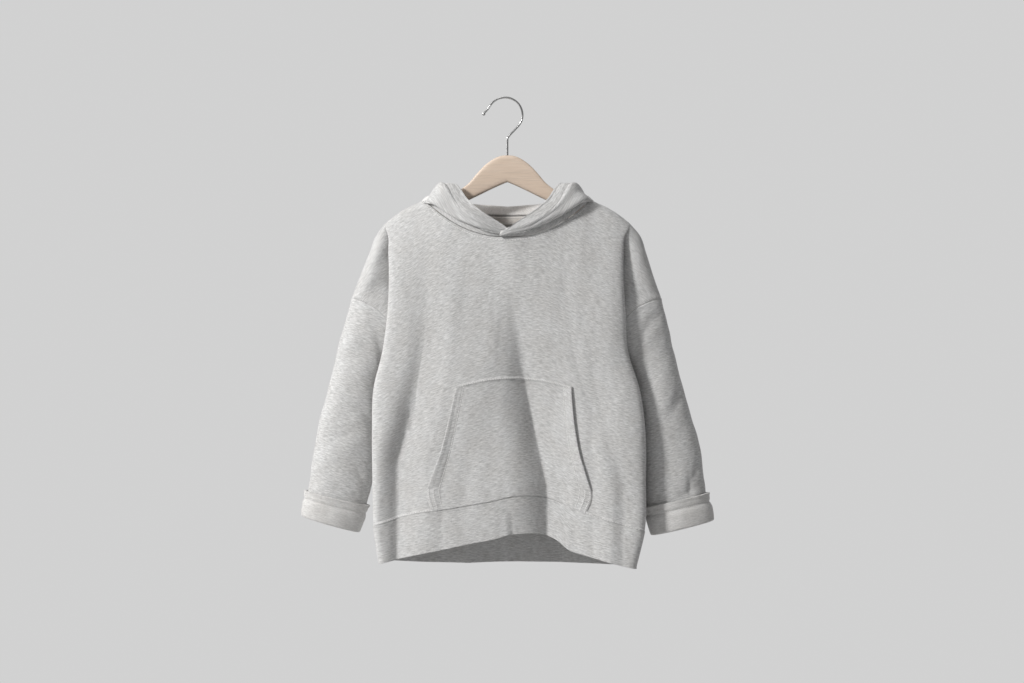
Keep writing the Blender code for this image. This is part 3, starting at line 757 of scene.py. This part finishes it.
def melange(name, light, dark, warmth, contrast, knit=1.0):
    """Heather jersey: grey ground with short wavy streaks along the courses, darker and lighter fibres,
    fine knit ribs and a raised nap."""
    n = Nodes(name)
    plain = n.coordinates((1, 1, 1))
    wander = n.noise(plain, 26, 2.0)
    bent = n.add("ShaderNodeVectorMath", {0: plain}, operation="MULTIPLY_ADD")
    bent.inputs[1].default_value = (1, 1, 1)
    lift = n.add("ShaderNodeCombineXYZ", {"Y": n.math("MULTIPLY", wander, 0.003)})
    n.link(lift.outputs[0], bent.inputs[2])
    stretched = n.add("ShaderNodeMapping", {"Vector": bent.outputs[0]})
    stretched.inputs["Scale"].default_value = (0.16, 1.0, 1.0)
    streak = n.noise(stretched.outputs[0], 850, 2.5, 0.6, 0.1)
    finer = n.add("ShaderNodeMapping", {"Vector": bent.outputs[0]})
    finer.inputs["Scale"].default_value = (0.22, 1.0, 1.0)
    fibre = n.noise(finer.outputs[0], 1500, 2.0, 0.6, 0.2)
    cloud = n.noise(plain, 38, 3.0, 0.6)
    low, high = 0.5 - contrast, 0.5 + contrast
    base = n.ramp(streak, ((low, grey(dark, warmth)), (high, grey(light, warmth))))
    thin = n.ramp(fibre, ((0.3, grey(0.86)), (0.7, grey(1.06))))
    tone = n.multiply(base, thin)
    wide = n.ramp(cloud, ((0.3, grey(0.95, 0.006)), (0.7, grey(1.03, -0.004))))
    n.link(n.multiply(tone, wide), n.shader.inputs["Base Color"])
    ribs = n.add("ShaderNodeTexWave", {"Vector": bent.outputs[0]}, wave_type="BANDS", bands_direction="X")
    ribs.inputs["Scale"].default_value = 230
    ribs.inputs["Distortion"].default_value = 2.0
    ribs.inputs["Detail"].default_value = 1.0
    fuzz = n.noise(plain, 2600, 3.0, 0.7)
    ribbing = n.math("MULTIPLY", ribs.outputs["Fac"], 0.25 * knit)
    height = n.math("ADD", ribbing, n.math("MULTIPLY", fuzz, 0.8))
    height = n.math("ADD", height, n.math("MULTIPLY", streak, 0.7))
    n.link(n.bump(height, 0.00045, 0.55), n.shader.inputs["Normal"])
    n.shader.inputs["Roughness"].default_value = 0.94
    n.shader.inputs["Specular IOR Level"].default_value = 0.18
    n.shader.inputs["Sheen Weight"].default_value = 0.22
    n.shader.inputs["Sheen Roughness"].default_value = 0.45
    n.shader.inputs["Sheen Tint"].default_value = (0.9, 0.9, 0.9, 1)
    return n.material


def wood_finish():
    """Pale sanded hardwood: long grain along each arm, small pores and a satin lacquer."""
    n = Nodes("sanded_wood")
    along = n.coordinates((6, 60, 60), "Object")
    grain = n.noise(along, 5.5, 4.0, 0.55, 0.6, "3D")
    pores = n.noise(n.coordinates((40, 900, 900), "Object"), 1.0, 2.0, 0.5, 0.0, "3D")
    colour = n.ramp(grain, ((0.2, (0.66, 0.525, 0.415)), (0.8, (0.73, 0.60, 0.495))))
    fleck = n.ramp(pores, ((0.33, grey(0.88)), (0.48, grey(1.0))))
    n.link(n.multiply(colour, fleck), n.shader.inputs["Base Color"])
    n.link(n.bump(pores, 0.0001, 0.25), n.shader.inputs["Normal"])
    n.shader.inputs["Roughness"].default_value = 0.42
    n.shader.inputs["Coat Weight"].default_value = 0.15
    n.shader.inputs["Coat Roughness"].default_value = 0.3
    return n.material


def steel_finish():
    """Drawn steel wire: bright, with faint lengthwise wear."""
    n = Nodes("drawn_steel")
    wear = n.noise(n.coordinates((300, 300, 300), "Object"), 3.0, 3.0, 0.6, 0.0, "3D")
    n.link(n.ramp(wear, ((0.3, grey(0.46)), (0.7, grey(0.60)))), n.shader.inputs["Base Color"])
    n.link(n.math("MULTIPLY_ADD", wear, 0.16, 0.14), n.shader.inputs["Roughness"])
    n.shader.inputs["Metallic"].default_value = 1.0
    return n.material


def thread_finish(name, value, warmth):
    """Spun sewing thread: matt, with a slight twist in its tone."""
    n = Nodes(name)
    twist = n.noise(n.coordinates((1, 1, 1), "Object"), 2200, 1.0, 0.5, 0.0, "3D")
    colour = n.ramp(twist, ((0.35, grey(value * 0.86, warmth)), (0.65, grey(value, warmth))))
    n.link(colour, n.shader.inputs["Base Color"])
    n.shader.inputs["Roughness"].default_value = 0.75
    n.shader.inputs["Sheen Weight"].default_value = 0.15
    return n.material


def floor_finish():
    n = Nodes("studio_floor")
    tone = n.noise(n.coordinates((1, 1, 1), "Object"), 1.5, 2.0, 0.5, 0.0, "3D")
    n.link(n.ramp(tone, ((0.3, grey(0.60)), (0.7, grey(0.63)))), n.shader.inputs["Base Color"])
    n.shader.inputs["Roughness"].default_value = 0.8
    return n.material


FACE = melange("heather_fleece", 0.71, 0.46, 0.004, 0.21)
REVERSE = melange("fleece_reverse", 0.70, 0.54, 0.014, 0.22, 0.6)
# Painted light: the hood's inside is the same reverse fleece, painted lighter than REVERSE to stand in for
# light falling into the hood and onto the back neck.
HOOD_INSIDE_PAINTED_LIGHT = melange("hood_inside_painted_light", 0.80, 0.66, 0.014, 0.22, 0.6)
# The twill tape's own cream tone, painted lighter still to stand in for light reaching the back neck inside
# the hood: partly painted light.
TAPE = melange("twill_tape_painted_lighter", 0.84, 0.74, 0.05, 0.3, 0.3)
WOOD = wood_finish()
STEEL = steel_finish()
THREAD = thread_finish("grey_thread", 0.80, 0.008)


# ---- pieces ----

def seen_from_front(centres):
    return np.array([0.0, -1.0, 0.0]) * np.ones_like(centres)


def seen_from_back(centres):
    return np.array([0.0, 1.0, 0.0]) * np.ones_like(centres)


def pulled_courses(grid):
    """The knit's courses rise inwards on the chest's left part, where the cloth hangs off its shoulder."""
    across = 1 - soft_step(grid[..., 0], -150, -10)
    return 25 * across * soft_step(grid[..., 2], -500, -380)


def make_body():
    for name, back in (("front", False), ("back", True)):
        panel = body_grid(back, 52, 30, 70, 70)
        wings = [drop_grid(side, panel, 70, 26, back) for side in (-1, 1)]
        sign = 1 if back else -1
        grids = [panel] + wings
        for grid in grids:
            grid[..., 1] = sign * np.maximum(sign * grid[..., 1], SEAM)
        obj = cloth_piece(name + "_panel", grids, FLEECE, seen_from_back if back else seen_from_front,
                          FACE, REVERSE, edge=0.85, pull=None if back else pulled_courses)
        finish_piece(obj, "fleece_face", name)


def make_bands():
    across = across_stations(60, 30)
    for name, back, table in (("hem_band_front", False, FRONT_BAND), ("hem_band_back", True, BACK_BAND)):
        x = across * table["x"][-1]
        seam = track(table["x"], table["seam"], x) - SEAM
        hem = track(table["x"], table["hem"], x)
        z = blend(seam, hem, np.linspace(0, 1, 48)[:, None] ** 1.3)
        grid = body_point(across * np.ones_like(z), z, back)
        sign = 1 if back else -1
        grid[..., 1] = sign * np.maximum(sign * grid[..., 1], SEAM)
        down = (seam - z) + 0 * grid[..., 0]
        lip = 1 - soft_step(down, 1.2, 3.2)
        grid[..., 1] += sign * (0.1 * lip)
        obj = cloth_piece(name + "_cloth", [grid], BAND_WALL, seen_from_back if back else seen_from_front,
                          FACE, FACE, edge=1.1, heft=lip, thick=1.1)
        finish_piece(obj, "fleece_face", name)


def make_sleeves():
    for name, side in (("left", -1), ("right", 1)):
        def away(centres, side=side):
            middle = sleeve_point(side, np.full(len(centres), 0.5), np.zeros(len(centres)))
            inner = sleeve_point(side, np.full(len(centres), 0.5), np.full(len(centres), np.pi))
            axis = (middle + inner) / 2 + (STEM_X, 0, 0)
            out = centres - axis
            out[:, 2] = 0
            return unit(out)

        tube = sleeve_grid(side, 110, 120, SLEEVE_START, 1, 0)
        obj = cloth_piece("sleeve_%s_cloth" % name, [tube], FLEECE, away, FACE, REVERSE, closed=True,
                          edge=0.85)
        finish_piece(obj, "fleece_face", "sleeve_" + name)
        down = np.linspace(0, CUFF_DEEP, 61)[:, None]
        cuff = sleeve_grid(side, 60, 150, CUFF_START, CUFF_FOLD, cuff_profile(down), CUFF_FLARE)
        rim = (1 - soft_step(down, 1.5, 3.5)) * np.ones((1, 150))
        obj = cloth_piece("cuff_%s_cloth" % name, [cuff], CUFF_WALL, away, REVERSE, FACE, closed=True,
                          heft=rim, thick=1.25, edge=0.9)
        finish_piece(obj, "fleece_reverse", "cuff_" + name)


def make_hood():
    def out_of_bag(centres):
        middle = np.array([STEM_X, 30.0, -150.0])
        return unit(centres - middle)

    for name, side in (("hood_left", -1), ("hood_right", 1)):
        grid = hood_grid(side, 110, 130)
        hem = np.linspace(0, 1, 131)[:, None] * np.ones((1, grid.shape[1]))
        hem = soft_step(hem, 0.93, 0.97)
        # The hood's inner side takes the reverse fleece painted lighter: painted light inside the hood.
        obj = cloth_piece(name + "_cloth", [grid], HOOD_WALL, out_of_bag, FACE, HOOD_INSIDE_PAINTED_LIGHT, heft=hem,
                          thick=1.6, edge=1.0)
        finish_piece(obj, "fleece_face", name)


def pocket_point(over, down, off=0.0):
    """Point of the pocket: over runs 0..1 from edge to edge, down 0..1 from top to band seam. It lies on
    the front panel, moved out by the walls, and its right edge stands proud."""
    left = track(POCKET["down"], POCKET["left"], down)
    right = track(POCKET["down"], POCKET["right"], down)
    x = blend(left, right, over)
    top = POCKET_CORNER_Z + POCKET_ARCH * np.sin(np.pi * np.clip(over, 0, 1)) ** 0.8
    foot = track(FRONT_BAND["x"], FRONT_BAND["seam"], x) + SEAM + 0.6
    z = blend(top, foot, down)
    opening = np.sin(np.pi * np.clip(down / 0.82, 0, 1)) ** 0.6
    proud = POCKET_PROUD * np.exp(-(((1 - over) / 0.07) ** 2)) * opening
    return on_front(x, z, POCKET_OFF + proud + off)


def make_pocket():
    over, down = np.meshgrid(np.linspace(0, 1, 170), np.linspace(0, 1, 140))
    from_side = np.minimum(over, 1 - over) * POCKET_WIDE
    opening = 1 - soft_step(down, 0.78, 0.83)
    hem = (1 - soft_step(from_side, 7.5, 12.0)) * opening
    lip = np.maximum(0.4 * hem + 0.45 * (1 - soft_step(from_side, 1.5, 6.0)) * opening,
                     0.6 * (1 - soft_step(down * POCKET_HIGH, 1.6, 6.5)))
    sunk = -0.25 * np.exp(-(((from_side - 11.4) / 0.8) ** 2)) * opening
    sunk = sunk - 0.1 * np.exp(-(((down * POCKET_HIGH - 4.0) / 1.2) ** 2))
    sunk = sunk - 0.6 * (1 - opening) * (1 - soft_step(from_side, 0.5, 7.0))
    grid = pocket_point(over, down, 0.75 * lip + sunk)
    obj = cloth_piece("pocket_cloth", [grid], POCKET_WALL, seen_from_front, FACE, REVERSE, heft=lip,
                      thick=1.9, edge=0.9)
    finish_piece(obj, "fleece_face", "pocket")


def make_tape():
    x = np.linspace(-84, 84, 120)[None, :]
    z = neck_line(x, True) - 1.0 - np.linspace(0, TAPE_WIDE, 8)[:, None]
    x = x * np.ones_like(z)
    y = body_depth(shoulder_line(x) - z, True) - (FLEECE / 2 + TAPE_WALL / 2 + 0.3)
    # The tape takes its cream finish, painted lighter for the shaded back neck.
    obj = cloth_piece("neck_tape_strip", [np.stack([x, y, z], axis=-1)], TAPE_WALL, seen_from_front,
                      TAPE, TAPE, edge=0.2)
    finish_piece(obj, "neck_tape", "neck_tape")


def tube(points, radius, sides):
    """Round tube along a path in one plane: each ring is the path point plus the radius times the
    in-plane normal and the plane's own normal. Its ends are left open."""
    along = unit(np.gradient(points, axis=0))
    flat = np.array([0.0, 1.0, 0.0])
    across = unit(np.cross(along, flat))
    turn = np.linspace(0, 2 * np.pi, sides, endpoint=False)
    ring = across[:, None] * np.cos(turn)[None, :, None] + flat * np.sin(turn)[None, :, None]
    return points[:, None] + ring * np.asarray(radius)[:, None, None]


def make_hook():
    """Wire: ball tip, short straight lead, arc over the crown, swing back and straight stem."""
    centre = np.array([-STEM_X, HOOK_WIRE - HOOK_RADIUS])
    turn = np.radians(np.linspace(150, -14, 90))
    arc = centre + HOOK_RADIUS * np.stack([np.cos(turn), np.sin(turn)], axis=-1)
    start = unit(arc[0] - arc[1])
    lead = arc[0] + start * np.linspace(9.0, 0.4, 20)[:, None] + np.array([-1.0, 0.4]) * np.linspace(
        1, 0, 20)[:, None] ** 2 * 1.2
    bend = np.array([0.0, HOOK_BEND_Z])
    share = np.linspace(0, 1, 50)[1:]
    leave = arc[-1] + unit(arc[-1] - arc[-2]) * 8
    control = np.stack([arc[-1], leave, bend + (5.5, 6.0), bend + (0.2, -1.5)])
    rest = 1 - share
    weights = np.stack([rest**3, 3 * share * rest**2, 3 * share**2 * rest, share**3], axis=-1)
    swing = weights @ control
    stem = np.stack([np.full(20, 0.0), np.linspace(HOOK_BEND_Z - 4, HANGER_UPPER["z"][0] - 1.0, 20)], axis=-1)
    flat = np.concatenate([lead, arc, swing, stem])
    ball_turn = np.linspace(0, np.pi * 0.8, 14)
    tip = lead[0] + start * (BALL * (1 + np.cos(ball_turn)))[:, None]
    flat = np.concatenate([tip[:-1], flat])
    radius = np.full(len(flat), HOOK_WIRE)
    radius[:13] = np.maximum(BALL * np.sin(ball_turn[:-1]), 0.01)
    points = np.stack([flat[:, 0], np.zeros(len(flat)), flat[:, 1]], axis=-1)
    grid = tube(points, radius, 20)
    obj = make_mesh("hook_wire", [mesh_arrays(grid, True)])
    weld(obj)
    close_ends(obj)
    obj.data.materials.append(STEEL)
    finish_piece(obj, "hook_steel", "hanger_hook")


def make_hanger():
    """Flat wooden body: at each station along it, a rounded rectangle between the upper and the lower
    outline, closing at both tips."""
    reach = HANGER_UPPER["x"][-1]
    station = np.sin(np.linspace(-np.pi / 2, np.pi / 2, 241))
    x = reach * np.sign(station) * np.abs(station)
    upper = track(HANGER_UPPER["x"], HANGER_UPPER["z"], np.abs(x))
    lower = track(HANGER_LOWER["x"], HANGER_LOWER["z"], np.abs(x))
    turn = np.linspace(0, 2 * np.pi, 64, endpoint=False)
    power = 2 / 5.5
    up = np.sign(np.sin(turn)) * np.abs(np.sin(turn)) ** power
    side = np.sign(np.cos(turn)) * np.abs(np.cos(turn)) ** power
    end = np.sqrt(np.clip(1 - np.clip((np.abs(x) - reach + 5) / 5, 0, 1) ** 2, 0, 1))
    middle, half = (upper + lower) / 2, (upper - lower) / 2 * np.maximum(end, 0.02)
    thick = HANGER_HALF_THICK * np.maximum(end, 0.02) ** 0.5
    grid = np.stack([
        x[:, None] * np.ones_like(turn),
        thick[:, None] * side,
        middle[:, None] + half[:, None] * up,
    ], axis=-1)
    obj = make_mesh("hanger_wood", [mesh_arrays(grid, True)])
    close_ends(obj)
    obj.data.materials.append(WOOD)
    finish_piece(obj, "hanger_wood", "hanger_body")


# ---- stitching ----

def along_path(at, run, values):
    return np.stack([np.interp(at, run, values[:, i]) for i in range(3)], axis=-1)


def stitch_mesh(name, rows, slot, long=STITCH_LONG, pitch=STITCH_PITCH, wide=STITCH_WIDE, turn=0.0):
    """Rows of stitches: along each path, a stitch every pitch, each a stretched ellipsoid laid along the
    path, or turned from it, and half sunk into the cloth. rows holds (path points, outward directions)."""
    rings, sides = 4, 6
    lat = np.linspace(0, np.pi, rings + 2)[1:-1]
    around = np.linspace(0, 2 * np.pi, sides, endpoint=False)
    unit_rings = np.stack([
        np.cos(lat)[:, None] * np.ones(sides),
        np.sin(lat)[:, None] * np.cos(around),
        np.sin(lat)[:, None] * np.sin(around),
    ], axis=-1).reshape(-1, 3)
    form = np.concatenate([unit_rings, [[1, 0, 0], [-1, 0, 0]]])
    quads, tris = [], []
    for ring in range(rings - 1):
        for k in range(sides):
            a, b = ring * sides + k, ring * sides + (k + 1) % sides
            quads.append((a, b, b + sides, a + sides))
    last = (rings - 1) * sides
    for k in range(sides):
        tris.append((rings * sides, (k + 1) % sides, k))
        tris.append((rings * sides + 1, last + k, last + (k + 1) % sides))
    faces = np.array([q[:3] for q in quads] + [(q[0], q[2], q[3]) for q in quads] + tris)
    places, axes, outs = [], [], []
    for path, out in rows:
        step = np.linalg.norm(np.diff(path, axis=0), axis=1)
        run = np.concatenate([[0], np.cumsum(step)])
        at = np.arange(pitch / 2, run[-1], pitch)
        places.append(along_path(at, run, path))
        axes.append(unit(along_path(at + 0.4, run, path) - along_path(at - 0.4, run, path)))
        outs.append(unit(along_path(at, run, out)))
    places, axes, outs = (np.concatenate(group) for group in (places, axes, outs))
    across = unit(np.cross(outs, axes))
    outs = np.cross(axes, across)
    axes, across = axes * np.cos(turn) + across * np.sin(turn), across * np.cos(turn) - axes * np.sin(turn)
    size = np.array([long / 2, wide / 2, wide * 0.35])
    scaled = form * size
    points = (places[:, None] + scaled[None, :, 0:1] * axes[:, None] + scaled[None, :, 1:2] * across[:, None]
              + scaled[None, :, 2:3] * outs[:, None])
    count = len(form)
    all_faces = (faces[None] + (np.arange(len(places)) * count)[:, None, None]).reshape(-1, 3)
    corners = np.zeros((len(all_faces), 3, 2))
    obj = make_mesh(name, [(points.reshape(-1, 3), all_faces, corners)])
    obj.data.materials.append(THREAD)
    finish_piece(obj, slot)


def front_row(x, z, off):
    path = on_front(x, z, off)
    return path, unit(on_front(x, z, off + 1) - path)


def pocket_row(over, down, off=0.15):
    over, down = np.broadcast_arrays(over, down)
    path = pocket_point(over, down, POCKET_WALL / 2 + off)
    return path, unit(pocket_point(over, down, POCKET_WALL / 2 + off + 1) - path)


def sleeve_row(side, along, angle, out):
    """Row round a sleeve that lies on its outer face, out beyond the middle of the wall."""
    along, angle = np.broadcast_arrays(along, angle)
    clear = SLEEVE_CLEAR * soft_step(along, 0.0, 0.12)
    path = sleeve_point(side, along, angle, out, clear)
    return path, unit(sleeve_point(side, along, angle, out + 1, clear) - path)


def back_row(x, z, off):
    point = body_point(np.clip(x / half_width(x, z), -1, 1), z, True)
    out = np.array([0.0, 1.0, 0.0]) * np.ones_like(point)
    return point + off * out, out


def make_stitches():
    lift = FLEECE / 2 + 0.05
    rows = []
    x = np.linspace(-88, 88, 260)
    rows.append(front_row(x, neck_line(x, False) - NECK_STITCH, lift))
    x = np.linspace(-147, 149, 360)
    seam = track(FRONT_BAND["x"], FRONT_BAND["seam"], x)
    rows.append(front_row(x, seam + BAND_STITCH, lift + 0.75))
    x = np.linspace(-146, 148, 360)
    rows.append(back_row(x, track(BACK_BAND["x"], BACK_BAND["seam"], x) + BAND_STITCH, lift + 0.75))
    x = np.linspace(-84, 84, 240)
    rows.append(back_row(x, neck_line(x, True) - NECK_STITCH, lift))
    stitch_mesh("panel_stitches", rows, "fleece_face")
    rows = []
    over = np.linspace(0.01, 0.99, 220)
    rows.append(pocket_row(POCKET_STITCH, np.linspace(0.02, 0.985, 200)))
    rows.append(pocket_row(1 - POCKET_STITCH, np.linspace(0.02, 0.985, 200)))
    stitch_mesh("pocket_stitches", rows, "fleece_face")
    rows = [pocket_row(over, 0.0145, 0.9)]
    for inset, off in ((0.012, -0.2), (0.04, 0.1)):
        rows.append(pocket_row(inset, np.linspace(0.82, 0.985, 60), off))
        rows.append(pocket_row(1 - inset, np.linspace(0.82, 0.985, 60), off))
    stitch_mesh("pocket_edge_stitches", rows, "fleece_face", 2.8, 2.0, 1.1, 1.0)
    rows = []
    angle = np.linspace(0, 2 * np.pi, 300)
    for side in (-1, 1):
        rows.append(sleeve_row(side, ARMHOLE_STITCH, angle, FLEECE / 2 + 0.1))
    stitch_mesh("armhole_stitches", rows, "fleece_face", 2.0, 2.6, 0.8)
    rows = []
    for side in (-1, 1):
        along = CUFF_START + (CUFF_FOLD - CUFF_START) * CUFF_HEM / CUFF_DEEP
        rows.append(sleeve_row(side, along, angle, CUFF_OUT - CUFF_GROOVE + CUFF_WALL / 2 + 0.25))
    stitch_mesh("cuff_stitches", rows, "fleece_reverse", 2.2, 2.6, 0.9)
    x = np.linspace(-78, 78, 200)
    z = neck_line(x, True) - 2.2
    y = body_depth(shoulder_line(x) - z, True) - (FLEECE / 2 + TAPE_WALL + 0.35)
    path = np.stack([x, y, z], axis=-1)
    out = np.array([0.0, -1.0, 0.0]) * np.ones_like(path)
    stitch_mesh("tape_stitches", [(path, out), (path - (0, 0, 6.4), out)], "neck_tape", 2.3, 2.5, 0.9)


# ---- studio ----

VIEW_WIDTH = 1.167      # metres of the object's plane that the picture takes in
VIEW_DISTANCE = 3.0
VIEW_CENTRE = (0.0080, 0.0, -0.2770)
FLOOR_Z = -1500.0       # well below the garment


def make_camera():
    data = bpy.data.cameras.new("camera")
    data.sensor_width = 36.0
    data.lens = 36.0 * VIEW_DISTANCE / VIEW_WIDTH
    camera = bpy.data.objects.new("camera", data)
    camera.location = (VIEW_CENTRE[0], -VIEW_DISTANCE, VIEW_CENTRE[2])
    camera.rotation_euler = (math.pi / 2, 0, 0)
    bpy.context.scene.collection.objects.link(camera)
    bpy.context.scene.camera = camera


def area_light(name, place, aim, size, power, colour):
    data = bpy.data.lights.new(name, "AREA")
    data.shape = "RECTANGLE"
    data.size, data.size_y = size
    data.energy = power
    data.color = colour
    light = bpy.data.objects.new(name, data)
    light.location = place
    direction = np.array(aim) - np.array(place)
    pitch = math.atan2(math.hypot(direction[0], direction[1]), -direction[2])
    light.rotation_euler = (pitch, 0, math.atan2(direction[1], direction[0]) - math.pi / 2)
    bpy.context.scene.collection.objects.link(light)


def make_studio():
    x, y = np.meshgrid(np.linspace(-3, 3, 13) * 1000, np.linspace(-3, 3, 13) * 1000, indexing="ij")
    grid = np.stack([x, y, np.full_like(x, FLOOR_Z)], axis=-1)
    floor = make_mesh("floor", [mesh_arrays(grid, False)])
    floor.data.materials.append(floor_finish())
    face_outwards(floor, lambda centres: np.array([0.0, 0.0, 1.0]) * np.ones_like(centres))
    world = bpy.data.worlds.new("studio")
    world.use_nodes = True
    tree = world.node_tree
    direction = tree.nodes.new("ShaderNodeSeparateXYZ")
    tree.links.new(tree.nodes.new("ShaderNodeTexCoord").outputs["Generated"], direction.inputs[0])
    shade = tree.nodes.new("ShaderNodeMapRange")
    shade.interpolation_type = "SMOOTHSTEP"
    for socket, value in zip(("From Min", "From Max", "To Min", "To Max"), (-0.1, 0.75, 0.23, 0.64)):
        shade.inputs[socket].default_value = value
    tree.links.new(direction.outputs["Y"], shade.inputs["Value"])
    tree.links.new(shade.outputs["Result"], tree.nodes["Background"].inputs["Color"])
    bpy.context.scene.world = world
    area_light("key", (-4.4, -3.6, 2.5), (0, 0, -0.3), (0.9, 0.9), 350, (1.0, 0.992, 0.975))
    area_light("left", (-2.4, 0.3, 0.6), (0, 0, -0.3), (1.0, 1.0), 14, (1.0, 0.995, 0.985))
    area_light("top", (-0.6, -0.7, 2.2), (0, 0, -0.2), (1.4, 1.4), 14, (1.0, 0.995, 0.985))
    bpy.context.scene.view_settings.view_transform = "Standard"


make_camera()
make_body()
make_bands()
make_sleeves()
make_hood()
make_pocket()
make_tape()
make_hook()
make_hanger()
make_stitches()
make_studio()
